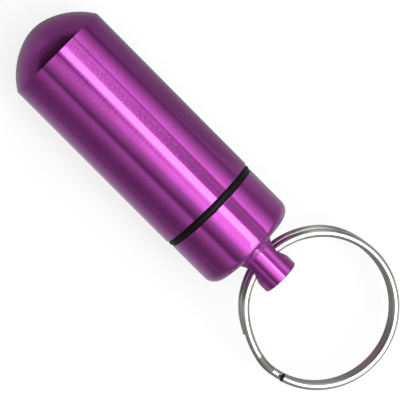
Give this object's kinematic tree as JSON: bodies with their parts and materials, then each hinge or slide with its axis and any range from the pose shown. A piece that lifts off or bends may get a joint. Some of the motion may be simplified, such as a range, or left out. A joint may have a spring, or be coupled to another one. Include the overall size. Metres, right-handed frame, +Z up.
{
  "type": "pill fob keychain",
  "caption": "Waterproof cylindrical pill holder: domed anodised barrel, screw cap with O-ring seal and cross-drilled knob, carried on a split key ring.",
  "frame": {"origin": "under the middle of the bounding box, on the surface that the fob lies on", "axes": "+X along the barrel from its dome to the key ring, +Y across, +Z up"},
  "size_m": [0.0747, 0.0254, 0.017],
  "materials": {
    "anodised_purple": "bright purple anodising over fine turning marks",
    "nitrile": "smooth black rubber with a slight sheen",
    "nickel": "bright nickel plate on spring steel"
  },
  "bodies": {
    "container": {"container_body": "anodised_purple"},
    "seal": {"o_ring": "nitrile"},
    "cap": {"screw_cap": "anodised_purple"},
    "key_ring": {"split_ring": "nickel"}
  },
  "joints": [
    {"name": "cap_travel", "type": "slide", "parent": "container", "child": "seal", "axis": [1, 0, 0], "range_m": [0, 0.0075]},
    {"name": "cap_turn", "type": "hinge", "parent": "seal", "child": "cap", "pos_m": [0.00032, -0.00078, 0.0085], "axis": [1, 0, 0], "range_deg": [0, 2160]},
    {"name": "ring_swing", "type": "hinge", "parent": "cap", "child": "key_ring", "pos_m": [0.01296, -0.00078, 0.0085], "axis": [0, -1, 0], "range_deg": [-115, 115]}
  ],
  "couplings": [
    {"joint": "cap_turn", "follows": "cap_travel", "rad_per_m": 5026.5}
  ]
}
